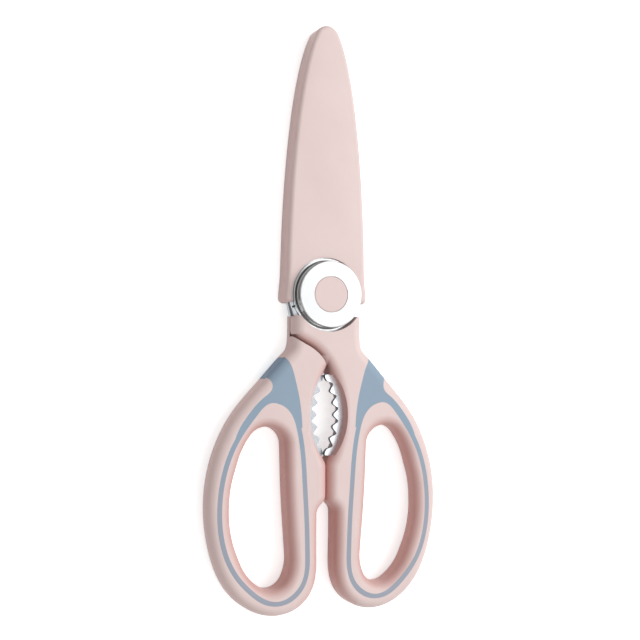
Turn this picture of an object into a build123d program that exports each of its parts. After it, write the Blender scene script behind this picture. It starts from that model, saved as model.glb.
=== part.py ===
"""Kitchen shears with a magnetic sheath, lying closed on their back.

The Z axis is the pivot axis and Z = 0 is the table under the back. The blades point along +Y and the
finger loops along -Y. The shears are two alike halves: the rear half is the front half turned half a
turn about the Y axis through the parting plane, so both are made by the same functions.
Lengths are in millimetres.
"""

import math
import os

from build123d import *

# Driving sizes of the whole object
thickness = 12.6  # over handles, pivot caps and sheath
handle_reach = 123.8  # pivot axis to the far end of the finger loops
bow_reach = 48.5  # centre line to the outer side of a finger loop
blade_reach = 99.0  # pivot axis to the blade tips
sheath_reach = 108.0  # pivot axis to the tip of the sheath
overrun = 1.0  # how far cutting tools run past what they cut

mid = thickness / 2  # height of the parting plane, where the two blades meet

# Blades
steel = 2.0
blade_gap = 0.05  # from the parting plane to each blade
blade_face = blade_gap + steel
ricasso_half = 15.3
ricasso_low = 3.5  # below the pivot axis
edge_lap = 1.2  # each cutting edge runs this far past the centre line
bevel_width = 3.4
bevel_land = 0.4  # steel left at the cutting edge
heel = 21.0  # pivot axis to the start of the cutting edge
tip_round = 1.4
jig_hole = 0.45
jig_inset = 1.45  # from the ricasso corner to the jig hole
spine_shares = [(-0.985, 0.03), (-0.863, 0.16), (-0.732, 0.343), (-0.569, 0.606), (-0.34, 0.828)]
heel_shares = [(0.40, 0.128), (0.82, 0.083), (0.985, 0.02)]

# Neck, where the handle of each half crosses the pivot
neck_half = 14.3
neck_top = 8.4  # below the pivot axis
neck_shoulder = 13.0
horn_round = 1.2
neck_notch = 14.6  # radius of the notch round the pivot cap
level_gap = 0.15  # from the parting plane to the plastic of each neck
seam_radius = 21.5
seam_turn = 245  # degrees, where the round part of the seam ends
seam_gap = 0.45

# Nutcracker opening, stops and finger loops
lens_top = 28.3
lens_end = 66.3
lens_half = 5.2
lens_run = 6.0  # the rear wall of the opening runs on this far under the crossing neck
lens_mid = (lens_top + lens_end) / 2
stop_gap = 0.1
stop_end = 80.2
gap_half = 3.8
gap_top = 84.0
rim_round = 4.0
plan_round = 4.4
flat_half = 10.0  # the handles are full thickness up to this far from the centre line
bow_thickness = 9.2  # and thin down to this at the outer sides of the loops
bow_shares = [
    (0.078, 0.80), (0.124, 0.935), (0.215, 0.975), (0.43, 1.0), (0.755, 0.943), (0.963, 0.78),
    (1.0, 0.655), (0.957, 0.527), (0.775, 0.375), (0.546, 0.273), (0.345, 0.188),
]
hole_shares = [
    (0.375, 0.283), (0.714, 0.485), (0.803, 0.606), (0.81, 0.74), (0.668, 0.878), (0.409, 0.949),
    (0.3, 0.851), (0.345, 0.63),
]
hole_round_shares = [0.156, 0.602, 0.878, 0.874, 0.431, 0.147, 0.34, 8.4]

# Jaw: the toothed steel that shows in the nutcracker opening
jaw_span = 31.4
jaw_half = 4.5
recess_half = 8.1
recess_end_half = 3.1
tooth_pitch = 4.65
tooth_depth = 2.05
tooth_count = 7
tang_hole = 1.8
tang_hole_share = (0.2309, 0.0525)  # of the centre line distance, and off the middle of the jaw
tang_right_shares = [(0.251, 0.13), (0.28, 0.258), (0.301, 0.388), (0.268, 0.501), (0.192, 0.574)]
tang_left_shares = [(0.085, 0.558), (0.0785, 0.515)]
tang_neck_shares = [(0.0785, 0.247), (0.01, 0.187), (-0.0928, 0.156), (-0.2268, 0.121)]

# Soft inlay: a stripe round each loop that widens to a patch over the outer flank
stripe_width = 1.9
inlay_floor = 3.0  # from the parting plane to the bottom of the stripe
stripe_shares = [
    (0.454, 0.3425), (0.328, 0.375), (0.272, 0.436), (0.245, 0.501), (0.225, 0.606), (0.208, 0.711),
    (0.20, 0.816), (0.233, 0.901), (0.419, 0.951), (0.649, 0.907), (0.796, 0.834), (0.874, 0.735),
    (0.882, 0.638), (0.837, 0.537), (0.753, 0.459), (0.61, 0.379),
]
stripe_steps = 24  # points that the stripe's outer edge is drawn through
patch_inner_shares = [(0.402, 0.186), (0.334, 0.222), (0.291, 0.273), (0.26, 0.324), (0.232, 0.42)]
patch_outer_shares = [
    (0.786, 0.451), (0.678, 0.375), (0.555, 0.324), (0.489, 0.297), (0.49, 0.279), (0.53, 0.262),
]
patch_outside_share = (0.577, 0.25)
link_shares = [(0.402, 0.186), (0.577, 0.25), (0.495, 0.284), (0.342, 0.22)]

# Pivot
bore_clearance = 0.05
shank = 3.5
thread = 2.5
washer_clearance = 0.05
washer_thickness = 0.4
slip_washer_radius = 11.0
spring_washer_radius = 6.5
spring_washer_split = 1.0
flange_radius = 14.2
flange_thickness = 0.8
cap_radius = 13.2
cap_chamfer = 0.35
insert_radius = 7.0
insert_clearance = 0.15
insert_thickness = 1.1
insert_chamfer = 0.2
head_radius = 5.4
socket_flats = 3.0
socket_depth = 1.2
nut_flats = 8.0
cap_seat = blade_face + washer_clearance + washer_thickness
head_seat = cap_seat + flange_thickness
front_cap_rise = 1.4  # the front cap stands this far above sheath and handles

# Sheath
mouth_half = 17.0
mouth_low = 3.4
mouth_round = 1.6
sheath_wall = 1.4
sheath_front_wall = 1.5
sheath_back_wall = 3.0
sheath_tip_wall = 3.0
sheath_tip_thickness = 10.4
sheath_flat = 72.0  # the sheath is full thickness up to this far above the pivot axis
sheath_round = 2.6
sheath_shares = [(0.9, 0.37), (0.729, 0.671), (0.25, 1.0)]
sheath_round_shares = [10.0, 6.0, 0.27]
magnet_radius = 5.0
magnet_thickness = 1.5
magnet_places = (30.0, 62.0)
cover_width = 13.0
cover_margin = 3.0
cover_thickness = 0.7
cover_clearance = 0.1

os.makedirs("parts", exist_ok=True)


def spot(share, width, length):
    """A point given as a share of a width and a share of a length up from the pivot axis."""
    return (share[0] * width, share[1] * length)


def low_spots(shares):
    """Points of the handles, as shares of the loop's width and of the reach below the pivot."""
    return [spot(share, bow_reach, -handle_reach) for share in shares]


def half_plane(side):
    """The parting plane seen from the front (side 1) or from the back (side -1)."""
    return Plane(origin=(0, 0, mid), x_dir=(side, 0, 0), z_dir=(0, 0, side))


def rim_edges(solid, up, low):
    """The outline edges of the faces that look up, below the line Y = low."""
    faces = [face for face in solid.faces() if face.normal_at().dot(up) > 0.9]
    edges = [edge for face in faces for edge in face.edges()]
    rims = [edge for edge in edges if sum(edge.is_same(other) for other in edges) == 1]
    return ShapeList([edge for edge in rims if edge.center().Y < low])


# Outlines of the handles


def grip_outline(plane, seamed):
    """The outline of a handle, with the crossing neck or cut straight along the centre line."""
    with BuildSketch(plane) as outline:
        with BuildLine():
            lens_start = (stop_gap, -lens_top)
            lens = ThreePointArc(lens_start, (lens_half, -lens_mid), (stop_gap, -lens_end))
            stop = Line(lens @ 1, (stop_gap, -stop_end))
            flare = Line(stop @ 1, (gap_half, -gap_top))
            shoulder = (neck_half, -neck_shoulder)
            bow = Spline(flare @ 1, *low_spots(bow_shares), shoulder, tangents=((0, -1), (0, 1)))
            wall = Line(bow @ 1, (neck_half, -neck_top))
            if seamed:
                turn = math.radians(seam_turn)
                seam_start = (-neck_half, -math.sqrt(seam_radius**2 - neck_half**2))
                seam_join = (seam_radius * math.cos(turn), seam_radius * math.sin(turn))
                top = Line(wall @ 1, (-neck_half, -neck_top))
                Line(top @ 1, seam_start)
                ring = RadiusArc(seam_start, seam_join, -seam_radius)
                TangentArc(seam_join, lens_start, tangent=ring % 1)
            else:
                rise = lens @ 0 - lens % 0 * lens_run
                seam_start = (rise.X, rise.Y)
                top = Line(wall @ 1, (rise.X, -neck_top))
                low = Line(top @ 1, seam_start)
                Line(low @ 1, lens_start)
        make_face()
        for corner in (lens @ 1, stop @ 1, flare @ 1, Vector(*seam_start)):
            fillet(outline.vertices().sort_by_distance(corner)[0], plan_round)
    return outline.sketch


def seam_outline(plane):
    """The neck of the other half with the seam's gap round it."""
    with BuildSketch(plane) as outline:
        with BuildLine():
            turn = math.radians(seam_turn)
            edge = neck_half + overrun
            seam_start = (-edge, -math.sqrt(seam_radius**2 - edge**2))
            seam_join = (seam_radius * math.cos(turn), seam_radius * math.sin(turn))
            ring = RadiusArc(seam_start, seam_join, -seam_radius)
            low = TangentArc(seam_join, (stop_gap, -lens_top), tangent=ring % 1)
            right = Line(low @ 1, (edge, -lens_top))
            side = Line(right @ 1, (edge, 0))
            top = Line(side @ 1, (-edge, 0))
            Line(top @ 1, seam_start)
        make_face()
        offset(amount=seam_gap)
    return outline.sketch


def hole_outline(plane):
    with BuildSketch(plane) as outline:
        with BuildLine():
            rounds = [share * bow_reach for share in hole_round_shares]
            FilletPolyline(*low_spots(hole_shares), radius=rounds, close=True)
        make_face()
    return outline.sketch


def stripe_outline(plane):
    """The stripe round the loop and the patch at the neck."""
    with BuildLine():
        loop = Spline(*low_spots(stripe_shares), periodic=True)
    places = [step / stripe_steps for step in range(stripe_steps)]
    outer_points = [loop @ place + (loop % place).rotate(Axis.Z, -90) * stripe_width for place in places]
    with BuildSketch(plane) as outline:
        with BuildLine():
            Spline(*outer_points, periodic=True)
        make_face()
        with BuildLine():
            inner = Spline(*low_spots(patch_inner_shares))
            across = Line(inner @ 1, low_spots(patch_outer_shares)[0])
            outer = Spline(*low_spots(patch_outer_shares))
            outside = Line(outer @ 1, low_spots([patch_outside_share])[0])
            Line(outside @ 1, inner @ 0)
        make_face()
        with BuildLine():
            Spline(*low_spots(stripe_shares), periodic=True)
        make_face(mode=Mode.SUBTRACT)
    return outline.sketch


def link_outline(plane):
    """The strip of the patch that wraps the outer flank."""
    with BuildSketch(plane) as outline:
        with BuildLine():
            Polyline(*low_spots(link_shares), close=True)
        make_face()
    return outline.sketch


def recess_outline(plane):
    """What the plastic leaves free in front of the jaw."""
    with BuildSketch(plane) as outline:
        with BuildLine():
            high = (recess_end_half, -(lens_mid - jaw_span / 2))
            low = (recess_end_half, -(lens_mid + jaw_span / 2))
            ThreePointArc(high, (recess_half, -lens_mid), low)
            end = Line(low, (-overrun, low[1]))
            back = Line(end @ 1, (-overrun, high[1]))
            Line(back @ 1, high)
        make_face()
    return outline.sketch


# Blades


def tooth_points():
    """The tips and valleys of the jaw's teeth, from its low end up, along a circle round its mouth."""
    tip_radius = ((jaw_span / 2) ** 2 + jaw_half**2) / (2 * jaw_half)
    points = []
    for place in range(2 * tooth_count - 1):
        angle = (place - (tooth_count - 1)) * tooth_pitch / 2 / tip_radius
        out = tip_radius + (place % 2) * tooth_depth
        points.append((jaw_half - tip_radius + out * math.cos(angle), out * math.sin(angle) - lens_mid))
    return points


def blade_outline(plane):
    with BuildSketch(plane) as outline:
        with BuildLine():
            left_corner = (-ricasso_half, -ricasso_low)
            right_corner = (ricasso_half, -ricasso_low)
            spine_points = [spot(share, ricasso_half, blade_reach) for share in spine_shares]
            heel_points = [spot(share, ricasso_half, blade_reach) for share in heel_shares]
            spine = Spline(left_corner, *spine_points, (0, blade_reach))
            tip = Line(spine @ 1, (edge_lap, blade_reach - tip_round))
            edge = Line(tip @ 1, (edge_lap, heel))
            heel_curve = Spline(edge @ 1, *heel_points, right_corner, tangents=((0, -1), (0, -1)))
            right = Polyline(heel_curve @ 1, *low_spots(tang_right_shares), *low_spots(tang_left_shares))
            jaw_low = Line(right @ 1, (0, -(lens_mid + jaw_span / 2)))
            jaw = Spline(jaw_low @ 1, *tooth_points(), (0, -(lens_mid - jaw_span / 2)))
            neck = Polyline(jaw @ 1, *low_spots(tang_neck_shares))
            Line(neck @ 1, left_corner)
        make_face()
        hole_x = tang_hole_share[0] * bow_reach
        hole_rise = tang_hole_share[1] * handle_reach
        with Locations((hole_x, hole_rise - lens_mid), (hole_x, -hole_rise - lens_mid)):
            Circle(tang_hole, mode=Mode.SUBTRACT)
        with Locations((0, 0)):
            Circle(shank + bore_clearance, mode=Mode.SUBTRACT)
        with Locations((jig_inset - ricasso_half, -ricasso_low - jig_inset)):
            Circle(jig_hole, mode=Mode.SUBTRACT)
    return outline.sketch


def blade(side):
    """One blade with its ricasso, toothed jaw and tang, ground on the outer face."""
    plane = half_plane(side)
    across = Plane(origin=(0, heel, mid), x_dir=plane.x_dir, z_dir=(0, 1, 0))
    outline = blade_outline(plane.offset(blade_gap))
    with BuildPart() as body:
        extrude(outline, amount=steel)
        with BuildSketch(across):
            with BuildLine():
                Polyline(
                    (edge_lap - bevel_width, -blade_face),
                    (edge_lap, -blade_gap - bevel_land),
                    (edge_lap + overrun, -blade_gap - bevel_land),
                    (edge_lap + overrun, -blade_face - overrun),
                    (edge_lap - bevel_width, -blade_face - overrun),
                    close=True,
                )
            make_face()
        extrude(amount=blade_reach, mode=Mode.SUBTRACT)
    return body.part


# Handles


def grip_envelope():
    """The handles' thickness: flat across the middle, thinner to the outer sides."""
    side_reach = bow_reach + overrun
    with BuildPart() as body:
        with BuildSketch(Plane(origin=(0, 0, mid), x_dir=(1, 0, 0), z_dir=(0, -1, 0))):
            with BuildLine():
                top = Line((0, mid), (flat_half, mid))
                fall = TangentArc(top @ 1, (side_reach, bow_thickness / 2), tangent=(1, 0))
                Line(fall @ 1, (side_reach, 0))
                mirror(about=Plane.XZ)
                mirror(about=Plane.YZ)
            make_face()
        extrude(amount=handle_reach + overrun)
    return body.part


def grip_level(plane, seamed, rise):
    """One level of a handle, from its plane up or down by the rise, with its outer rims rounded."""
    up = plane.z_dir * math.copysign(1, rise)
    outline = grip_outline(plane, seamed)
    hole = hole_outline(plane)
    envelope = grip_envelope()
    with BuildPart() as body:
        extrude(outline, amount=rise)
        extrude(hole, amount=rise, mode=Mode.SUBTRACT)
        add(envelope, mode=Mode.INTERSECT)
        fillet(rim_edges(body, up, -neck_top - horn_round), rim_round)
    return body.part


def corner_trim(plane, half, edge, rounding, way):
    """What is cut off to round two corners in plan, upper ones (way 1) or lower ones (way -1)."""
    reach = rounding + overrun
    middle_x = half - rounding + reach / 2
    middle_y = edge + way * (reach / 2 - rounding)
    with BuildSketch(plane) as outline:
        with Locations((middle_x, middle_y), (-middle_x, middle_y)):
            Rectangle(reach, reach)
        with Locations((half - rounding, edge - way * rounding)):
            Circle(rounding, mode=Mode.SUBTRACT)
        with Locations((rounding - half, edge - way * rounding)):
            Circle(rounding, mode=Mode.SUBTRACT)
    return outline.sketch


def grip(side):
    """A whole handle before its inlay is cut out: neck, jaw bed and finger loop."""
    plane = half_plane(side)
    neck_plane = plane.offset(level_gap)
    near_level = grip_level(neck_plane, True, mid - level_gap)
    far_level = grip_level(neck_plane, False, -mid - level_gap)
    other_neck = seam_outline(half_plane(-side).offset(-level_gap))
    horns = corner_trim(plane, neck_half, -neck_top, horn_round, 1)
    recess = recess_outline(plane)
    steel_part = blade(side)
    with BuildPart() as body:
        add(far_level)
        extrude(other_neck, amount=thickness, mode=Mode.SUBTRACT)
        add(near_level)
        with BuildSketch(plane):
            Circle(neck_notch)
        extrude(amount=thickness, mode=Mode.SUBTRACT)
        extrude(horns, amount=thickness, mode=Mode.SUBTRACT)
        extrude(recess, amount=thickness, both=True, mode=Mode.SUBTRACT)
        add(steel_part, mode=Mode.SUBTRACT)
    return body.part


def inlay_tool(side):
    """The space of the inlay: a stripe in the front, one in the back and a link round the flank."""
    plane = half_plane(side)
    depth = mid - inlay_floor + overrun
    near_stripe = stripe_outline(plane.offset(inlay_floor))
    far_stripe = stripe_outline(plane.offset(-inlay_floor))
    link = link_outline(plane)
    with BuildPart() as body:
        extrude(near_stripe, amount=depth)
        extrude(far_stripe, amount=-depth)
        extrude(link, amount=inlay_floor, both=True)
    return body.part


# Pivot


def cap_level(side):
    """Height of a cap's outer face above the parting plane; only the front cap stands proud."""
    return mid + front_cap_rise * (side + 1) / 2


def pivot_cap(side):
    """A stepped cap with a flange against the blade and a pocket for the screw's end."""
    plane = half_plane(side)
    with BuildPart() as body:
        with BuildSketch(plane.offset(cap_seat)):
            Circle(flange_radius)
        extrude(amount=flange_thickness)
        with BuildSketch(plane.offset(cap_seat)):
            Circle(cap_radius)
        extrude(amount=cap_level(side) - cap_seat)
        top = body.faces().sort_by(Axis(plane.origin, plane.z_dir))[-1]
        chamfer(top.edges(), cap_chamfer)
        with BuildSketch(plane.offset(head_seat)):
            Circle(insert_radius + insert_clearance)
        extrude(amount=thickness, mode=Mode.SUBTRACT)
        with BuildSketch(plane.offset(cap_seat)):
            Circle(shank)
        extrude(amount=thickness, mode=Mode.SUBTRACT)
    return body.part


def cap_insert(side):
    plane = half_plane(side)
    with BuildPart() as body:
        with BuildSketch(plane.offset(cap_level(side) - insert_thickness)):
            Circle(insert_radius)
        extrude(amount=insert_thickness)
        top = body.faces().sort_by(Axis(plane.origin, plane.z_dir))[-1]
        chamfer(top.edges(), insert_chamfer)
    return body.part


# Sheath


def sheath_outline(plane, inset, low):
    """The sheath's outline, or its cavity's with the wall as inset, open or closed at the mouth."""
    with BuildSketch(plane) as outline:
        with BuildLine():
            tip = sheath_reach - inset / sheath_wall * sheath_tip_wall
            side = [(mouth_half - inset, -low)]
            side += [(across * mouth_half - inset, along * tip) for across, along in sheath_shares]
            rounds = [share * mouth_half - inset for share in sheath_round_shares]
            other = [(-x, y) for x, y in reversed(side)]
            FilletPolyline(*side, *other, radius=rounds + rounds[::-1])
            Line(side[0], other[-1])
        make_face()
    return outline.sketch


def sheath_side(plane):
    """The sheath seen from its side: full thickness, then thinner to the tip."""
    with BuildSketch(plane) as outline:
        with BuildLine():
            base = Line((-mouth_low - overrun, mid), (sheath_flat, mid))
            end = (sheath_reach + overrun, sheath_tip_thickness / 2)
            fall = TangentArc(base @ 1, end, tangent=(1, 0))
            Line(fall @ 1, (end[0], 0))
            Line(base @ 0, (-mouth_low - overrun, 0))
            mirror(about=Plane.XZ)
        make_face()
    return outline.sketch


side_plane = Plane(origin=(0, 0, mid), x_dir=(0, 1, 0), z_dir=(1, 0, 0))
front = half_plane(1)
back = Plane(origin=(0, 0, 0), x_dir=(1, 0, 0), z_dir=(0, 0, 1))
cover_low = magnet_places[0] - magnet_radius - cover_margin
cover_high = magnet_places[1] + magnet_radius + cover_margin
cover_middle = (0, (cover_low + cover_high) / 2)

outside = sheath_outline(front, 0, mouth_low)
cavity = sheath_outline(front, sheath_wall, mouth_low + overrun)
side_view = sheath_side(side_plane)
mouth_corners = corner_trim(front, mouth_half, -mouth_low, mouth_round, -1)

with BuildPart() as sheath:
    extrude(outside, amount=mid, both=True)
    extrude(side_view, amount=mouth_half + overrun, both=True, mode=Mode.INTERSECT)
    rims = rim_edges(sheath, front.z_dir, sheath_reach) + rim_edges(sheath, -front.z_dir, sheath_reach)
    fillet(ShapeList(edge for edge in rims if edge.center().Y > -mouth_low + mouth_round), sheath_round)
    extrude(cavity, amount=mid - sheath_front_wall, mode=Mode.SUBTRACT)
    extrude(cavity, amount=sheath_back_wall - mid, mode=Mode.SUBTRACT)
    with BuildSketch(front):
        Circle(neck_notch)
    extrude(amount=thickness, both=True, mode=Mode.SUBTRACT)
    extrude(mouth_corners, amount=thickness, both=True, mode=Mode.SUBTRACT)
    with BuildSketch(back.offset(-overrun)):
        with Locations(cover_middle):
            RectangleRounded(cover_width, cover_high - cover_low, cover_width / 2 - cover_clearance)
    extrude(amount=overrun + cover_thickness, mode=Mode.SUBTRACT)
    with BuildSketch(back.offset(-overrun)):
        with Locations(*[(0, place) for place in magnet_places]):
            Circle(magnet_radius)
    extrude(amount=overrun + cover_thickness + magnet_thickness, mode=Mode.SUBTRACT)
sheath.part.label = "sheath"
export_step(sheath.part, "parts/sheath.step")

with BuildPart() as sheath_magnet_cover:
    with BuildSketch(back):
        with Locations(cover_middle):
            wide = cover_width - 2 * cover_clearance
            RectangleRounded(wide, cover_high - cover_low - 2 * cover_clearance, wide / 2 - cover_clearance)
    extrude(amount=cover_thickness)
sheath_magnet_cover.part.label = "sheath_magnet_cover"
export_step(sheath_magnet_cover.part, "parts/sheath_magnet_cover.step")

for name, place in zip(("sheath_lower_magnet", "sheath_upper_magnet"), magnet_places):
    with BuildPart() as magnet:
        with BuildSketch(back.offset(cover_thickness)):
            with Locations((0, place)):
                Circle(magnet_radius)
        extrude(amount=magnet_thickness)
    magnet.part.label = name
    export_step(magnet.part, f"parts/{name}.step")

# The two halves, and what each carries at the pivot

for half, side in (("front", 1), ("rear", -1)):
    steel_piece = blade(side)
    whole_grip = grip(side)
    tool = inlay_tool(side)
    with BuildPart() as handle:
        add(whole_grip)
        add(tool, mode=Mode.SUBTRACT)
    with BuildPart() as inlay:
        add(whole_grip)
        add(tool, mode=Mode.INTERSECT)
    pieces = {
        "blade": steel_piece,
        "handle": handle.part,
        "grip_inlay": inlay.part,
        "pivot_cap": pivot_cap(side),
        "cap_insert": cap_insert(side),
    }
    for name, piece in pieces.items():
        piece.label = f"{half}_{name}"
        export_step(piece, f"parts/{half}_{name}.step")

washer_seat = blade_face + washer_clearance
with BuildPart() as front_slip_washer:
    with BuildSketch(front.offset(washer_seat)):
        Circle(slip_washer_radius)
        Circle(shank, mode=Mode.SUBTRACT)
    extrude(amount=washer_thickness)
front_slip_washer.part.label = "front_slip_washer"
export_step(front_slip_washer.part, "parts/front_slip_washer.step")

with BuildPart() as rear_spring_washer:
    with BuildSketch(half_plane(-1).offset(washer_seat)):
        Circle(spring_washer_radius)
        Circle(shank, mode=Mode.SUBTRACT)
        with Locations((0, spring_washer_radius)):
            Rectangle(spring_washer_split, 2 * spring_washer_radius - shank, mode=Mode.SUBTRACT)
    extrude(amount=washer_thickness)
rear_spring_washer.part.label = "rear_spring_washer"
export_step(rear_spring_washer.part, "parts/rear_spring_washer.step")

front_room = cap_level(1) - insert_thickness - head_seat
rear_room = cap_level(-1) - insert_thickness - head_seat
with BuildPart() as pivot_screw:
    with BuildSketch(front.offset(head_seat)):
        Circle(head_radius)
    extrude(amount=front_room)
    with BuildSketch(front.offset(head_seat)):
        Circle(shank)
    extrude(amount=-2 * head_seat)
    with BuildSketch(half_plane(-1).offset(head_seat)):
        Circle(thread)
    extrude(amount=rear_room)
    with BuildSketch(front.offset(head_seat + front_room)):
        RegularPolygon(socket_flats / 2, 6, major_radius=False)
    extrude(amount=-socket_depth, mode=Mode.SUBTRACT)
pivot_screw.part.label = "pivot_screw"
export_step(pivot_screw.part, "parts/pivot_screw.step")

with BuildPart() as pivot_nut:
    with BuildSketch(half_plane(-1).offset(head_seat)):
        RegularPolygon(nut_flats / 2, 6, major_radius=False)
        Circle(thread, mode=Mode.SUBTRACT)
    extrude(amount=rear_room)
pivot_nut.part.label = "pivot_nut"
export_step(pivot_nut.part, "parts/pivot_nut.step")
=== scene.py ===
# %% [markdown]
# # Dressing a pair of kitchen shears
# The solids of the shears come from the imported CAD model, which fixes every size and every joint.
# This lesson gives them the finish seen in the photograph: satin pink plastic, a blue-grey inlay,
# brushed steel and a bright pivot cap. The photograph shows only the front, so the finish of what
# lies behind or inside is the usual one for such a piece. Everything is in metres, Z up, with the
# shears lying on their back and the blades pointing along +Y.

import math

import bmesh
import bpy
import numpy as np
from mathutils import Matrix, Vector


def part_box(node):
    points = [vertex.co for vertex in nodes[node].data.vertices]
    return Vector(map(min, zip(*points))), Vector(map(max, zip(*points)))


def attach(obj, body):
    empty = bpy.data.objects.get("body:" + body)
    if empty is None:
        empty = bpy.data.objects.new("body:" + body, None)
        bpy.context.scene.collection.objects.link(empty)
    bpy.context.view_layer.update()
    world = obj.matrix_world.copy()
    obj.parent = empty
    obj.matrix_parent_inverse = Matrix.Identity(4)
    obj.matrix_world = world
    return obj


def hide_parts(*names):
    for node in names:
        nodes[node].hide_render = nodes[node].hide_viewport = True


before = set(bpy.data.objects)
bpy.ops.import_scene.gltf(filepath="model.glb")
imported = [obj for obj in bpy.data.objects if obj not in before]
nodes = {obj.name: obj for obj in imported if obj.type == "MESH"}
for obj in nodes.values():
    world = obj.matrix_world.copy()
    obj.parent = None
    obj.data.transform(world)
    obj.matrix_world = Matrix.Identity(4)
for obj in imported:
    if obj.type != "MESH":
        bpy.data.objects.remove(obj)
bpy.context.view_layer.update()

# %% [markdown]
# ## Small tools for node trees
# A material is a graph, and every node in it needs the same few lines: add it, then link or set its
# sockets. These helpers do that, so that the later cells read like sums. Node groups matter here,
# because the same effect, such as a moulded grain, shows on several materials at other strengths.


# %% Node helpers
def feed(tree, socket, value):
    """Links a socket to another one, or sets it to a plain value."""
    if isinstance(value, bpy.types.NodeSocket):
        tree.links.new(value, socket)
    else:
        socket.default_value = value


def put(tree, kind, **values):
    """Adds a node of a kind and feeds its sockets by their names."""
    node = tree.nodes.new(kind)
    for name, value in values.items():
        feed(tree, node.inputs[name.replace("_", " ")], value)
    return node


def math_node(tree, operation, first, second=0.0):
    """One operation on one or two numbers."""
    node = tree.nodes.new("ShaderNodeMath")
    node.operation = operation
    feed(tree, node.inputs[0], first)
    feed(tree, node.inputs[1], second)
    return node.outputs[0]


def product(tree, first, *others):
    """All the factors multiplied, which for masks of 0 and 1 means that all of them hold."""
    for other in others:
        first = math_node(tree, "MULTIPLY", first, other)
    return first


def vector_node(tree, operation, first, second=None):
    """One operation on one or two vectors; a length or a dot product comes out as a number."""
    node = tree.nodes.new("ShaderNodeVectorMath")
    node.operation = operation
    feed(tree, node.inputs[0], first)
    if second is not None:
        feed(tree, node.inputs[1], second)
    return node.outputs["Value" if operation in ("DOT_PRODUCT", "LENGTH") else "Vector"]


def split(tree, vector):
    """The X, Y and Z of a vector, as three outputs."""
    return put(tree, "ShaderNodeSeparateXYZ", Vector=vector).outputs


def ramp(tree, value, start, full):
    """Rises from 0 at the start to 1 at the full value, which may be the lower of the two."""
    node = put(tree, "ShaderNodeMapRange", Value=value, From_Min=start, From_Max=full)
    return node.outputs[0]


def from_axis(tree, place):
    """The distance from the pivot axis, which is the length of a place without its height."""
    return vector_node(tree, "LENGTH", vector_node(tree, "MULTIPLY", place, (1.0, 1.0, 0.0)))


def around_middle(tree, noise, middle, spread):
    """A noise of 0 to 1, moved so that it varies by a spread about a middle value."""
    shift = math_node(tree, "SUBTRACT", noise, 0.5)
    return math_node(tree, "ADD", math_node(tree, "MULTIPLY", shift, spread), middle)


def start_group(name, inputs, outputs):
    """An empty shader group with (name, socket kind, default) inputs and (name, kind) outputs."""
    group = bpy.data.node_groups.new(name, "ShaderNodeTree")
    for label, kind, default in inputs:
        socket = group.interface.new_socket(label, in_out="INPUT", socket_type=kind)
        if default is not None:
            socket.default_value = default
    for label, kind in outputs:
        group.interface.new_socket(label, in_out="OUTPUT", socket_type=kind)
    given = group.nodes.new("NodeGroupInput").outputs
    result = group.nodes.new("NodeGroupOutput").inputs
    return group, given, result


# %% [markdown]
# ## A grain for moulded plastic
# A mould for satin plastic is usually spark-eroded, which leaves a pebbled grain of about a quarter
# of a millimetre, too fine for the photograph to show. No moulding is evenly glossy either. Two
# noises do this: a fine one for the height and a broad one that shifts the gloss and, very
# slightly, the colour. The group reads Object coordinates, so the grain stays on the part however
# it is turned.

# %% Grain group
grain, given, result = start_group(
    "moulded_grain",
    [
        ("Vector", "NodeSocketVector", None),
        ("Grain per metre", "NodeSocketFloat", 3800.0),
        ("Patch per metre", "NodeSocketFloat", 60.0),
        ("Roughness", "NodeSocketFloat", 0.4),
        ("Roughness spread", "NodeSocketFloat", 0.08),
    ],
    [("Height", "NodeSocketFloat"), ("Roughness", "NodeSocketFloat"), ("Patch", "NodeSocketFloat")],
)
noise = "ShaderNodeTexNoise"
fine = put(grain, noise, Vector=given["Vector"], Scale=given["Grain per metre"], Detail=2.0)
broad = put(grain, noise, Vector=given["Vector"], Scale=given["Patch per metre"], Detail=3.0)
gloss = around_middle(grain, broad.outputs[0], given["Roughness"], given["Roughness spread"])
feed(grain, result["Height"], fine.outputs[0])
feed(grain, result["Roughness"], gloss)
feed(grain, result["Patch"], broad.outputs[0])
print("group:", grain.name)

# %% [markdown]
# ## Brushed and turned metal
# Blades of this kind are ground on a wide belt, which scratches them in one direction, and a metal
# cap is turned on a lathe, which leaves rings. Both are one noise read through changed coordinates:
# for the blade they are stretched so that the long way is X, and for the cap the noise is read at
# the distance from the pivot axis.

# %% Brushed group
brushed, given, result = start_group(
    "brushed_lines",
    [
        ("Vector", "NodeSocketVector", None),
        ("Stretch", "NodeSocketVector", (300.0, 9000.0, 9000.0)),
        ("Roughness", "NodeSocketFloat", 0.25),
        ("Roughness spread", "NodeSocketFloat", 0.15),
    ],
    [("Height", "NodeSocketFloat"), ("Roughness", "NodeSocketFloat")],
)
stretched = vector_node(brushed, "MULTIPLY", given["Vector"], given["Stretch"])
lines = put(brushed, noise, Vector=stretched, Scale=1.0, Detail=4.0)
gloss = around_middle(brushed, lines.outputs[0], given["Roughness"], given["Roughness spread"])
feed(brushed, result["Height"], lines.outputs[0])
feed(brushed, result["Roughness"], gloss)

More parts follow.
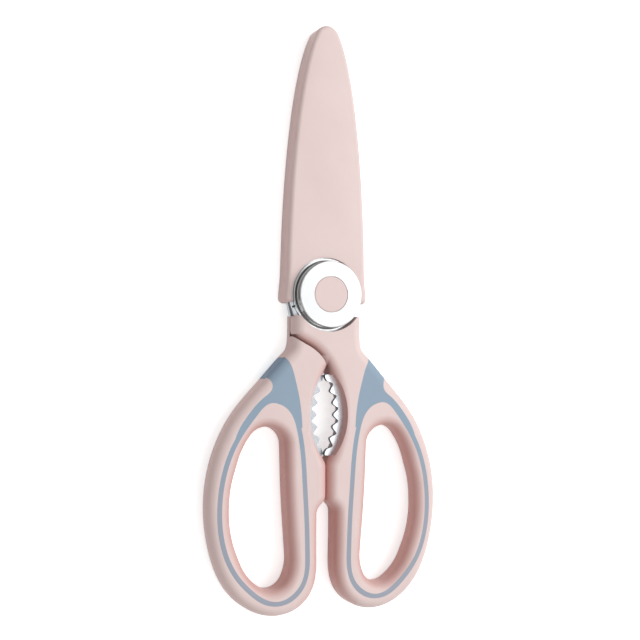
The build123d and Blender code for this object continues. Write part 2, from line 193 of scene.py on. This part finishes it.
# %% Turned group
turned, given, result = start_group(
    "turned_rings",
    [
        ("Vector", "NodeSocketVector", None),
        ("Rings per metre", "NodeSocketFloat", 7000.0),
        ("Roughness", "NodeSocketFloat", 0.12),
        ("Roughness spread", "NodeSocketFloat", 0.1),
    ],
    [("Height", "NodeSocketFloat"), ("Roughness", "NodeSocketFloat")],
)
at_ring = product(turned, from_axis(turned, given["Vector"]), given["Rings per metre"])
rings = put(turned, noise, Scale=1.0, Detail=3.0)
rings.noise_dimensions = "1D"
feed(turned, rings.inputs["W"], at_ring)
gloss = around_middle(turned, rings.outputs[0], given["Roughness"], given["Roughness spread"])
feed(turned, result["Height"], rings.outputs[0])
feed(turned, result["Roughness"], gloss)
print("groups:", brushed.name, turned.name)

# %% [markdown]
# ## The materials
# Each finish is a Principled BSDF with its plain numbers on its own sockets, and a group for what
# varies over the surface. Its colour runs between two close tones, because a single flat colour
# never looks like a real surface. Colours are written in linear light.

# %% Material helper
MM = 0.001
relief_depth = 0.03 * MM
tone_from = 0.3
tone_to = 0.7


def finish_material(name, group, group_values, low, high, metallic, bump, **sockets):
    """A Principled material whose colour runs between two tones by the group's varying output."""
    material = bpy.data.materials.new(name)
    material.use_nodes = True
    tree = material.node_tree
    shader = tree.nodes["Principled BSDF"]
    where = tree.nodes.new("ShaderNodeTexCoord")
    effect = tree.nodes.new("ShaderNodeGroup")
    effect.node_tree = group
    feed(tree, effect.inputs["Vector"], where.outputs["Object"])
    for label, value in group_values.items():
        effect.inputs[label].default_value = value
    varying = effect.outputs["Patch" if "Patch" in effect.outputs else "Height"]
    tones = tree.nodes.new("ShaderNodeValToRGB")
    for stop, place, tone in zip(tones.color_ramp.elements, (tone_from, tone_to), (low, high)):
        stop.position = place
        stop.color = (*tone, 1.0)
    feed(tree, tones.inputs[0], varying)
    relief = put(tree, "ShaderNodeBump", Strength=bump, Distance=relief_depth)
    feed(tree, relief.inputs["Height"], effect.outputs["Height"])
    feed(tree, shader.inputs["Base Color"], tones.outputs[0])
    feed(tree, shader.inputs["Roughness"], effect.outputs["Roughness"])
    feed(tree, shader.inputs["Normal"], relief.outputs[0])
    shader.inputs["Metallic"].default_value = metallic
    for label, value in sockets.items():
        shader.inputs[label.replace("_", " ")].default_value = value
    return material


# %% Plastics
pink = finish_material(
    "satin_pink_plastic", grain, {"Roughness": 0.42},
    low=(0.790, 0.628, 0.603), high=(0.820, 0.658, 0.633),
    metallic=0.0, bump=0.25, Specular_IOR_Level=0.3,
)
soft_grip = finish_material(
    "soft_blue_grey_grip", grain, {"Roughness": 0.6, "Grain per metre": 5200.0},
    low=(0.285, 0.378, 0.475), high=(0.305, 0.400, 0.500),
    metallic=0.0, bump=0.35, Specular_IOR_Level=0.35,
)
nylon = finish_material(
    "white_nylon", grain, {"Roughness": 0.5},
    low=(0.72, 0.72, 0.69), high=(0.78, 0.78, 0.76), metallic=0.0, bump=0.2,
)
print("plastics:", pink.name, soft_grip.name, nylon.name)

# %% Metals
blade_steel = finish_material(
    "ground_blade_steel", brushed, {"Roughness": 0.3},
    low=(0.58, 0.61, 0.64), high=(0.70, 0.73, 0.76), metallic=1.0, bump=0.3,
)
cap_metal = finish_material(
    "bright_turned_cap", turned, {"Roughness": 0.1},
    low=(0.86, 0.87, 0.88), high=(0.93, 0.94, 0.95), metallic=1.0, bump=0.08,
)
pivot_steel = finish_material(
    "turned_pivot_steel", turned, {"Roughness": 0.3},
    low=(0.45, 0.46, 0.48), high=(0.6, 0.61, 0.63), metallic=1.0, bump=0.3,
)
magnet_metal = finish_material(
    "nickel_magnet", brushed, {"Roughness": 0.2, "Stretch": (3000.0, 3000.0, 3000.0)},
    low=(0.6, 0.6, 0.59), high=(0.7, 0.7, 0.69), metallic=1.0, bump=0.1,
)
print("metals:", blade_steel.name, cap_metal.name, pivot_steel.name, magnet_metal.name)

# %% [markdown]
# ## Masks
# The darker places mixed in below are mostly painted shade. A mask is a number from 0 to 1 that says
# how much, worked out from where a point is or which way it faces. One helper then mixes the colour
# towards a tint by that mask. Masks of place and direction need no painting by hand, and they stay
# on the piece when it moves.


# %% Mask helpers
def edge_mask(tree, where, upright, flat):
    """0 on faces that look up or down, 1 on upright ones, from the size of the normal's Z."""
    lean = math_node(tree, "ABSOLUTE", split(tree, where.outputs["Normal"])["Z"])
    return ramp(tree, lean, flat, upright)


def ring_mask(tree, where, inner, outer):
    """1 between two distances from the pivot axis, else 0."""
    radius = from_axis(tree, where.outputs["Object"])
    past = math_node(tree, "GREATER_THAN", radius, inner)
    return product(tree, past, math_node(tree, "LESS_THAN", radius, outer))


def band_mask(tree, where, axis, start, full):
    """Rises from 0 to 1 between two places along an axis."""
    return ramp(tree, split(tree, where.outputs["Object"])[axis], start, full)


def darken(material, tint, mask_of, *values, rougher=0.0):
    """Mixes a material's colour towards a tint, and its roughness up, where a mask says so."""
    tree = material.node_tree
    shader = tree.nodes["Principled BSDF"]
    where = next(node for node in tree.nodes if node.type == "TEX_COORD")
    mask = mask_of(tree, where, *values)
    mix = tree.nodes.new("ShaderNodeMix")
    mix.data_type = "RGBA"
    feed(tree, mix.inputs["Factor"], mask)
    feed(tree, mix.inputs["A"], shader.inputs["Base Color"].links[0].from_socket)
    feed(tree, mix.inputs["B"], (*tint, 1.0))
    feed(tree, shader.inputs["Base Color"], mix.outputs["Result"])
    smooth = shader.inputs["Roughness"].links[0].from_socket
    raised = math_node(tree, "ADD", smooth, math_node(tree, "MULTIPLY", mask, rougher))
    feed(tree, shader.inputs["Roughness"], raised)


# %% [markdown]
# ## Walls that face each other
# In the photograph the pink is deeper on walls that face each other: in a finger hole, in the
# nutcracker's opening and along the seam of the neck. Most of that is likely shade, and light that
# bounces from pink to pink. The plain light of this scene leaves those walls too pale, so the deeper
# pink is painted in where the shape calls for it. It is tuned to the photograph, and the price is
# that it stays when the light changes. One group finds the walls from place and normal: does the
# wall look at the middle of a loop, at the centre line, or away from the pivot below the neck? Its
# second output is a thin dark line, along the parting at half the thickness and deep in the seam.

# %% Places on the handles
loop_middle = (27.5 * MM, -83.0 * MM, 0.0)
loop_half = (12.0 * MM, 31.0 * MM)
loop_top = -30.0 * MM
centre_reach = 13.0 * MM
neck_reach = 24.0 * MM
neck_side = 13.5 * MM
neck_top = -8.0 * MM
seam_top = -14.5 * MM
parting_height = 6.3 * MM
parting_half_width = 0.22 * MM
parting_end = -16.5 * MM
seam_shade_height = (11.9 * MM, 10.0 * MM)
seam_shade_end = (-32.5 * MM, -27.0 * MM)
seam_shade_turn = 0.4
plain_wall_share = 0.45
wall_ramp = (0.05, 0.9)
print("ellipse of a loop, half sizes in mm:", [round(half / MM, 1) for half in loop_half])

# %% Deeper walls group
walls, given, result = start_group(
    "facing_walls",
    [("Vector", "NodeSocketVector", None), ("Normal", "NodeSocketVector", None)],
    [("Wall", "NodeSocketFloat"), ("Line", "NodeSocketFloat")],
)
place = split(walls, given["Vector"])
look = split(walls, given["Normal"])
right_or_left = math_node(walls, "SIGN", place["X"])
mirror = put(walls, "ShaderNodeCombineXYZ", X=right_or_left, Y=1.0).outputs[0]
point = vector_node(walls, "MULTIPLY", given["Vector"], mirror)
normal = vector_node(walls, "MULTIPLY", given["Normal"], mirror)
print("group:", walls.name)

# %% Walls of the loops
from_loop = vector_node(walls, "SUBTRACT", point, loop_middle)
slope = vector_node(walls, "DIVIDE", from_loop, (loop_half[0] ** 2, loop_half[1] ** 2, 1.0))
outward = vector_node(walls, "DOT_PRODUCT", vector_node(walls, "NORMALIZE", slope), normal)
below_neck = math_node(walls, "LESS_THAN", place["Y"], loop_top)
loop_wall = product(walls, outward, -1.0, below_neck)
print("nodes, with the loops:", len(walls.nodes))

# %% Walls of the centre line and the seam
near_centre = math_node(walls, "LESS_THAN", split(walls, point)["X"], centre_reach)
past_neck = math_node(walls, "LESS_THAN", place["Y"], -neck_reach)
centre_wall = product(walls, split(walls, normal)["X"], -1.0, near_centre, past_neck)
in_neck = math_node(walls, "LESS_THAN", from_axis(walls, given["Vector"]), neck_reach)
below_seam_top = math_node(walls, "LESS_THAN", place["Y"], seam_top)
seam_wall = product(walls, look["Y"], -1.0, in_neck, below_seam_top)
facing = math_node(walls, "MAXIMUM", math_node(walls, "MAXIMUM", loop_wall, centre_wall), seam_wall)
print("nodes, with the centre and the seam:", len(walls.nodes))

# %% All upright walls, more weakly
upright = math_node(walls, "SUBTRACT", 1.0, math_node(walls, "ABSOLUTE", look["Z"]))
strongest = math_node(walls, "MAXIMUM", facing, product(walls, upright, plain_wall_share))
feed(walls, result["Wall"], ramp(walls, strongest, *wall_ramp))
print("nodes, with all walls:", len(walls.nodes))

# %% Dark lines
# The line is painted shadow, in the narrow gap along the parting and deep in the seam.
above_parting = math_node(walls, "SUBTRACT", place["Z"], parting_height)
off_parting = math_node(walls, "ABSOLUTE", above_parting)
on_parting = math_node(walls, "LESS_THAN", off_parting, parting_half_width)
on_side = math_node(walls, "GREATER_THAN", math_node(walls, "ABSOLUTE", place["X"]), neck_side)
above_end = math_node(walls, "GREATER_THAN", place["Y"], parting_end)
below_mouth = math_node(walls, "LESS_THAN", place["Y"], neck_top)
parting = product(walls, on_parting, on_side, above_end, below_mouth)
deep = ramp(walls, place["Z"], *seam_shade_height)
above_opening = ramp(walls, place["Y"], *seam_shade_end)
turned_away = math_node(walls, "GREATER_THAN", facing, seam_shade_turn)
seam_shade = product(walls, deep, above_opening, turned_away)
feed(walls, result["Line"], math_node(walls, "MAXIMUM", parting, seam_shade))
print("nodes, with the lines:", len(walls.nodes))


# %% Deeper pink and its lines
def wall_mask(tree, where, output):
    """One output of the group above, fed with place and normal."""
    effect = tree.nodes.new("ShaderNodeGroup")
    effect.node_tree = walls
    feed(tree, effect.inputs["Vector"], where.outputs["Object"])
    feed(tree, effect.inputs["Normal"], where.outputs["Normal"])
    return effect.outputs[output]


deep_pink = (0.70, 0.41, 0.375)
shadow_line_brown = (0.22, 0.12, 0.11)
darken(pink, deep_pink, wall_mask, "Wall", rougher=0.05)
darken(pink, shadow_line_brown, wall_mask, "Line", rougher=0.1)
print("darkened:", pink.name)

# %% [markdown]
# ## Darker steel, inlay and cap rings
# The edges of the toothed jaws are dark in the photograph while their faces are bright, and that
# dark is painted in as shade on every upright face of the steel. The steel at and below the plane
# where the blades meet gets painted shade too, and the rear jaw's tips, which are a pale grey there,
# get more of it. Steel mirrors the white world, so its tint has to be much darker than that grey.
# The inlay is a little duller low on the loops, and its flank is darker by painted shade. The groove
# round the cap is shown by dark rings of painted shade: light alone makes it too bright here, so
# this too is painted to match.

# %% Inlay
duller_blue = (0.345, 0.380, 0.450)
flank_shade_blue = (0.225, 0.300, 0.405)
duller_from = -55.0 * MM
duller_full = -78.0 * MM
flank_upright = 0.3
flank_flat = 0.7
darken(soft_grip, duller_blue, band_mask, "Y", duller_from, duller_full)
# The flank's darker blue is painted shade.
darken(soft_grip, flank_shade_blue, edge_mask, flank_upright, flank_flat)
print("darkened:", soft_grip.name)

# %% Steel
painted_edge_shade = (0.10, 0.10, 0.11)
lower_blade_shade = (0.50, 0.52, 0.55)
rear_jaw_shade = (0.33, 0.34, 0.36)
edge_shade_upright = 0.3
edge_shade_flat = 0.6
above_meeting = 6.4 * MM
jaw_face = 6.25 * MM
lower_face = 6.2 * MM
jaws_from = -28.0 * MM
jaws_full = -31.0 * MM


def rear_jaw_shade_mask(tree, where):
    """1 on the rear jaw's face, where painted shade goes: at or below the plane where the blades
    meet, past the neck.
    """
    low_face = band_mask(tree, where, "Z", above_meeting, jaw_face)
    past_neck = band_mask(tree, where, "Y", jaws_from, jaws_full)
    return product(tree, low_face, past_neck)


# Painted shade: darker on upright steel faces, on the steel at and below where the blades meet, and
# darker still on the rear jaw.
darken(blade_steel, painted_edge_shade, edge_mask, edge_shade_upright, edge_shade_flat, rougher=0.15)
darken(blade_steel, lower_blade_shade, band_mask, "Z", above_meeting, lower_face)
darken(blade_steel, rear_jaw_shade, rear_jaw_shade_mask)
print("darkened:", blade_steel.name)

# %% Rings of the cap
# Each ring of painted shade has an inner and an outer radius in millimetres, and a grey.
cap_rings = ((12.68, 13.17, 0.5), (13.17, 13.25, 0.3), (13.25, 13.62, 0.05))
for inner, outer, grey in cap_rings:
    darken(cap_metal, (grey, grey, grey), ring_mask, inner * MM, outer * MM, rougher=0.1)
print("darkened:", cap_metal.name, "rings:", len(cap_rings))

# %% [markdown]
# ## Which node wears what
# The CAD nodes keep their shapes and only get their materials here.

# %% Assign materials
wardrobe = {
    "front_blade": blade_steel,
    "rear_blade": blade_steel,
    "front_handle": pink,
    "rear_handle": pink,
    "front_grip_inlay": soft_grip,
    "rear_grip_inlay": soft_grip,
    "front_pivot_cap": cap_metal,
    "rear_pivot_cap": cap_metal,
    "front_cap_insert": pink,
    "rear_cap_insert": pink,
    "front_slip_washer": nylon,
    "rear_spring_washer": pivot_steel,
    "pivot_screw": pivot_steel,
    "pivot_nut": pivot_steel,
    "sheath": pink,
    "sheath_magnet_cover": pink,
    "sheath_lower_magnet": magnet_metal,
    "sheath_upper_magnet": magnet_metal,
}
for name, material in wardrobe.items():
    mesh = nodes[name].data
    mesh.materials.clear()
    mesh.materials.append(material)
    print(name, "triangles:", len(mesh.polygons), material.name)

# %% [markdown]
# ## Small tools for meshes
# New pieces are worked out as whole arrays of points. A ring is a closed row of points, a stack of
# rings makes a skin, and a flat face closes each end, so that every piece is a sealed solid. Slots
# and recesses are then cut with a Boolean, as a mould's cores would leave them, and the result is
# kept as plain mesh.


# %% Mesh helpers
def stacked(name, rings):
    """A sealed solid from rings of points, shaped (rings, points, 3), which run anticlockwise seen
    from the side of the last ring."""
    count, around, _ = rings.shape
    base = np.arange(count - 1)[:, None] * around
    here = np.arange(around)[None, :]
    after = (here + 1) % around
    quads = np.stack([base + here, base + after, base + around + after, base + around + here], -1)
    first_end = list(range(around))[::-1]
    last_end = list(range((count - 1) * around, count * around))
    mesh = bpy.data.meshes.new(name)
    faces = quads.reshape(-1, 4).tolist() + [first_end, last_end]
    mesh.from_pydata(rings.reshape(-1, 3).tolist(), [], faces)
    mesh.update()
    piece = bpy.data.objects.new(name, mesh)
    bpy.context.scene.collection.objects.link(piece)
    return piece


def prism(name, outline, low, high):
    """A straight solid over a closed outline of (x, y) points, between two heights."""
    levels = np.array([low, high])[:, None, None]
    flat_rings = np.broadcast_to(outline[None], (2, *outline.shape))
    heights = np.broadcast_to(levels, (2, len(outline), 1))
    return stacked(name, np.concatenate([flat_rings, heights], 2))


def carved(piece, *cutters):
    """Cuts the cutters out of a piece, keeps the result as plain mesh and deletes the cutters."""
    for cutter in cutters:
        cut = piece.modifiers.new(cutter.name, "BOOLEAN")
        cut.operation = "DIFFERENCE"
        cut.solver = "EXACT"
        cut.object = cutter
    evaluated = piece.evaluated_get(bpy.context.evaluated_depsgraph_get())
    finished = bpy.data.meshes.new_from_object(evaluated)
    piece.modifiers.clear()
    piece.data = finished
    for cutter in cutters:
        bpy.data.objects.remove(cutter)
    return piece


def shade(piece, sharp_above=35.0):
    """Smooth shading that keeps edges sharper than an angle, in degrees."""
    piece.data.shade_smooth()
    piece.data.set_sharp_from_angle(angle=math.radians(sharp_above))


# %% [markdown]
# ## The sheath
# Seen from the front the sheath is half of a long ellipse with a slightly flared mouth, and a
# rounded edge runs all the way round it, as on one moulding. Its skin is therefore a profile, the
# rounded edge, carried along a path, the outline. The slot for the blades and the arc for the pivot
# cap are cut out afterwards, and so is the recess of the magnets and their cover, which are a guess.
# The height of 9.8 mm is about the least that holds both blades and the walls here, while the flank
# in the photograph suggests 8 to 9 mm.

# %% Sheath outline
mouth_y = -3.4 * MM
sheath_half = 16.7 * MM
sheath_run = 110.5 * MM
tip_turn = math.radians(74.4)
flare = 0.7 * MM
flare_reach = 6.0 * MM
mouth_corner = 1.9 * MM
side_points = 70
tip_points = 20
corner_points = 10


def sheath_outline(inset):
    """The closed outline, anticlockwise. Each side follows an ellipse from the mouth's corner until
    a circle about a point on the centre line touches it, and that circle is the tip. A bell curve
    widens the mouth, and each of its corners is a quarter circle. The inset moves every point
    inward along the normal of the path."""
    low = mouth_y + mouth_corner
    shrink = sheath_half**2 / sheath_run
    tip_middle = low + (sheath_run - shrink) * math.sin(tip_turn)
    tip_radius = math.hypot(sheath_half * math.cos(tip_turn), shrink * math.sin(tip_turn))
    turn = np.linspace(0.0, tip_turn, side_points)
    side_y = low + sheath_run * np.sin(turn)
    side_x = sheath_half * np.cos(turn) + flare * np.exp(-(((side_y - low) / flare_reach) ** 2))
    tip_start = math.asin((side_y[-1] - tip_middle) / tip_radius)
    tip = np.linspace(tip_start, math.pi / 2, tip_points)[1:]
    corner = np.linspace(-math.pi / 2, 0.0, corner_points)[:-1]
    corner_x = sheath_half + flare - mouth_corner + mouth_corner * np.cos(corner)
    corner_y = low + mouth_corner * np.sin(corner)
    half_x = np.concatenate([corner_x, side_x, tip_radius * np.cos(tip)])
    half_y = np.concatenate([corner_y, side_y, tip_middle + tip_radius * np.sin(tip)])
    half_x[-1] = 0.0
    path = np.stack([np.r_[half_x, -half_x[-2::-1]], np.r_[half_y, half_y[-2::-1]]], 1)
    along = np.roll(path, -1, 0) - np.roll(path, 1, 0)
    inward = np.stack([-along[:, 1], along[:, 0]], 1) / np.linalg.norm(along, axis=1)[:, None]
    return path + inward * inset


points_around = len(sheath_outline(0.0))
print("sheath outline points:", points_around)

# %% Sheath skin
sheath_height = 9.8 * MM
front_round = 1.8 * MM
back_round = 1.2 * MM
bend_points = 9
bend = np.linspace(0.0, math.pi / 2, bend_points)
insets = np.r_[back_round * (1 - np.sin(bend)), front_round * (1 - np.cos(bend))]
levels = np.r_[back_round * (1 - np.cos(bend)), sheath_height - front_round * (1 - np.sin(bend))]
skin = [np.c_[sheath_outline(inset), np.full(points_around, level)]
        for inset, level in zip(insets, levels)]
sheath_shell = stacked("sheath_shell", np.stack(skin))
print("sheath skin rings:", len(skin))

# %% Sheath cuts
slot_floor = 3.1 * MM
slot_roof = 8.6 * MM
wall = 1.4 * MM
overrun = 2.0 * MM
notch_radius = 14.6 * MM
circle_points = 160
slot_outline = sheath_outline(wall)
at_mouth = slot_outline[:, 1] < mouth_y + 2 * mouth_corner
slot_outline[at_mouth, 1] -= wall + overrun
slot_outline[at_mouth, 1] = np.minimum(slot_outline[at_mouth, 1], mouth_y - overrun)
slot = prism("slot", slot_outline, slot_floor, slot_roof)
around = np.linspace(0.0, 2 * math.pi, circle_points, endpoint=False)
circle = np.stack([np.cos(around), np.sin(around)], 1)
notch = prism("notch", circle * notch_radius, -overrun, sheath_height + overrun)
cover_low, cover_high = (np.array(corner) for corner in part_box("sheath_magnet_cover"))
fit = 0.1 * MM
end_radius = (cover_high[0] - cover_low[0]) / 2
ends = np.where(circle[:, 1:] > 0, cover_high[1] - end_radius, cover_low[1] + end_radius)
stadium = circle * (end_radius + fit) + np.c_[np.zeros(len(ends)), ends]
recess = prism("recess", stadium, -overrun, cover_high[2])
seats = []
for name in ("sheath_lower_magnet", "sheath_upper_magnet"):
    magnet_low, magnet_high = (np.array(corner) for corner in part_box(name))
    middle = (magnet_low[:2] + magnet_high[:2]) / 2
    seats.append(prism(name + "_seat", circle * (magnet_high[0] - middle[0] + fit) + middle,
                       magnet_low[2] - fit, magnet_high[2]))
carved(sheath_shell, slot, notch, recess, *seats)
shade(sheath_shell)
sheath_shell.data.materials.append(pink)
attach(sheath_shell, "sheath")
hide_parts("sheath")
size_mm = [round(length / MM, 1) for length in sheath_shell.dimensions]
print("sheath faces:", len(sheath_shell.data.polygons), "size:", size_mm)

# %% [markdown]
# ## The toothed jaws
# The photograph shows the punched teeth a little further into the opening than the CAD solids have
# them, and the rear jaw's tips past the edge of the handle in front of it. A longer jaw is one way
# to get that look, and a thinner handle could be another. Here a copy of each blade is merged into
# one skin and its teeth are drawn out towards the middle, fading to nothing at the points next to
# the centre line.

# %% Longer teeth
tooth_reach = {"front_blade": 0.75 * MM, "rear_blade": 1.7 * MM}
teeth_start = 0.5 * MM
teeth_full = 2.0 * MM
teeth_end = 7.2 * MM
weld = 0.001 * MM
jaw_low = -64.0 * MM
jaw_high = -31.0 * MM
for node, side in (("front_blade", 1), ("rear_blade", -1)):
    mesh = nodes[node].data.copy()
    body = bmesh.new()
    body.from_mesh(mesh)
    bmesh.ops.remove_doubles(body, verts=body.verts, dist=weld)
    body.to_mesh(mesh)
    body.free()
    if "custom_normal" in mesh.attributes:
        mesh.attributes.remove(mesh.attributes["custom_normal"])
    points = np.empty(len(mesh.vertices) * 3)
    mesh.vertices.foreach_get("co", points)
    points = points.reshape(-1, 3)
    across = points[:, 0] * side
    on_height = (points[:, 1] > jaw_low) & (points[:, 1] < jaw_high)
    on_jaw = on_height & (across > teeth_start) & (across < teeth_end)
    share = np.clip((across - teeth_start) / (teeth_full - teeth_start), 0, 1)
    pull = tooth_reach[node] * share * on_jaw
    points[:, 0] -= side * pull
    mesh.vertices.foreach_set("co", points.ravel())
    mesh.update()
    blade = bpy.data.objects.new(node + "_ground", mesh)
    bpy.context.scene.collection.objects.link(blade)
    shade(blade)
    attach(blade, "front_half" if side > 0 else "rear_half")
    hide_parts(node)
    print(blade.name, "teeth moved:", int(on_jaw.sum()))

# %% [markdown]
# ## Floor and light
# The photograph has a plain white ground. The floor is white, and for camera rays it glows a
# little, so it shows as clean white and still keeps the soft shadow. One broad lamp from the upper
# right models the rounded edges: faces that look left turn darker, as in the photograph. A weaker
# one stands above the loops.

# %% Floor
floor_glow = 0.6
floor_half = 3.0
floor_drop = 0.1 * MM
paper_white = (0.9, 0.9, 0.9, 1.0)
glow_white = (1.0, 1.0, 1.0, 1.0)
corners = np.array([[-1, -1, 0], [1, -1, 0], [1, 1, 0], [-1, 1, 0]], float) * floor_half
corners[:, 2] = -floor_drop
floor_mesh = bpy.data.meshes.new("floor")
floor_mesh.from_pydata(corners.tolist(), [], [(0, 1, 2, 3)])
floor = bpy.data.objects.new("floor", floor_mesh)
bpy.context.scene.collection.objects.link(floor)
paper = bpy.data.materials.new("white_paper")
paper.use_nodes = True
tree = paper.node_tree
shader = tree.nodes["Principled BSDF"]
shader.inputs["Base Color"].default_value = paper_white
shader.inputs["Roughness"].default_value = 0.9
shader.inputs["Specular IOR Level"].default_value = 0.0
shader.inputs["Emission Color"].default_value = glow_white
ray = tree.nodes.new("ShaderNodeLightPath").outputs
straight = math_node(tree, "MAXIMUM", ray["Is Camera Ray"], ray["Is Transmission Ray"])
seen = math_node(tree, "MAXIMUM", straight, ray["Is Glossy Ray"])
feed(tree, shader.inputs["Emission Strength"], math_node(tree, "MULTIPLY", seen, floor_glow))
floor_mesh.materials.append(paper)
print("floor:", floor.name, "material:", paper.name)

# %% [markdown]
# ## World
# The world is white to the camera. What metal mirrors is dimmer near the horizon than overhead, as
# round a real shooting table, so that the cap's side wall shows dark. Every other ray gets a weak
# even fill.

# %% World
fill_strength = 0.36
horizon_strength = 0.1
dim_below = 0.1
bright_above = 0.5
world = bpy.data.worlds.new("studio")
bpy.context.scene.world = world
world.use_nodes = True
tree = world.node_tree
background = tree.nodes["Background"]
background.inputs["Color"].default_value = glow_white
way = tree.nodes.new("ShaderNodeTexCoord")
height = put(
    tree, "ShaderNodeMapRange", Value=split(tree, way.outputs["Generated"])["Z"],
    From_Min=dim_below, From_Max=bright_above, To_Min=horizon_strength,
)
height.interpolation_type = "SMOOTHSTEP"
ray = tree.nodes.new("ShaderNodeLightPath").outputs
mirrored = math_node(tree, "MULTIPLY", ray["Is Glossy Ray"], height.outputs[0])
direct = math_node(tree, "MAXIMUM", ray["Is Camera Ray"], ray["Is Transmission Ray"])
shown = math_node(tree, "MAXIMUM", direct, mirrored)
special = math_node(tree, "MAXIMUM", direct, ray["Is Glossy Ray"])
filled = math_node(tree, "MULTIPLY", math_node(tree, "SUBTRACT", 1.0, special), fill_strength)
feed(tree, background.inputs["Strength"], math_node(tree, "ADD", shown, filled))
print("world:", world.name, "fill:", fill_strength)


# %% Lamps
def area_lamp(name, place, aim, size, power):
    """A square soft lamp at a place, looking at a point."""
    lamp = bpy.data.lights.new(name, "AREA")
    lamp.size = size
    lamp.energy = power
    holder = bpy.data.objects.new(name, lamp)
    holder.location = place
    holder.rotation_euler = (Vector(aim) - Vector(place)).to_track_quat("-Z", "Y").to_euler()
    bpy.context.scene.collection.objects.link(holder)


pivot = (0.0, 0.0, 0.0)
area_lamp("key", place=(0.9, 0.35, 1.0), aim=pivot, size=0.9, power=12.0)
area_lamp("top", place=(0.1, -0.5, 1.4), aim=pivot, size=0.8, power=4.6)
print("lamps:", [lamp.name for lamp in bpy.data.lights])

# %% [markdown]
# ## Camera
# The camera stands where the photograph seems to have been taken from. If the left and right loops
# are taken as mirror images of each other, their different pictures give the viewing angle. The
# camera looks down on the shears from the front left, 0.43 m away, and is rolled by less than a
# degree. The angles are in radians.

# %% Place the camera
yaw = 0.40
pitch = -0.04
roll = 0.007
distance = 0.4338
target = np.array([-0.00155, -0.00985, 0.0063])
level_share = math.cos(pitch)
forward = np.array([math.sin(yaw) * level_share, -math.sin(pitch), -math.cos(yaw) * level_share])
right = np.cross(forward, [0.0, 1.0, 0.0])
right /= np.linalg.norm(right)
up = np.cross(right, forward)
rolled_right = math.cos(roll) * right + math.sin(roll) * up
rolled_up = math.cos(roll) * up - math.sin(roll) * right
pose = np.eye(4)
pose[:3, 0] = rolled_right
pose[:3, 1] = rolled_up
pose[:3, 2] = -forward
pose[:3, 3] = target - distance * forward
sensor_width = 36.0
focal_pixels = 1095.33
picture_pixels = 640.0
camera_data = bpy.data.cameras.new("camera")
camera_data.sensor_fit = "HORIZONTAL"
camera_data.sensor_width = sensor_width
camera_data.lens = sensor_width * focal_pixels / picture_pixels
camera = bpy.data.objects.new("camera", camera_data)
camera.matrix_world = Matrix(pose.tolist())
bpy.context.scene.collection.objects.link(camera)
bpy.context.scene.camera = camera
bpy.context.scene.view_settings.view_transform = "Standard"
print("camera at:", [round(value, 4) for value in pose[:3, 3].tolist()])
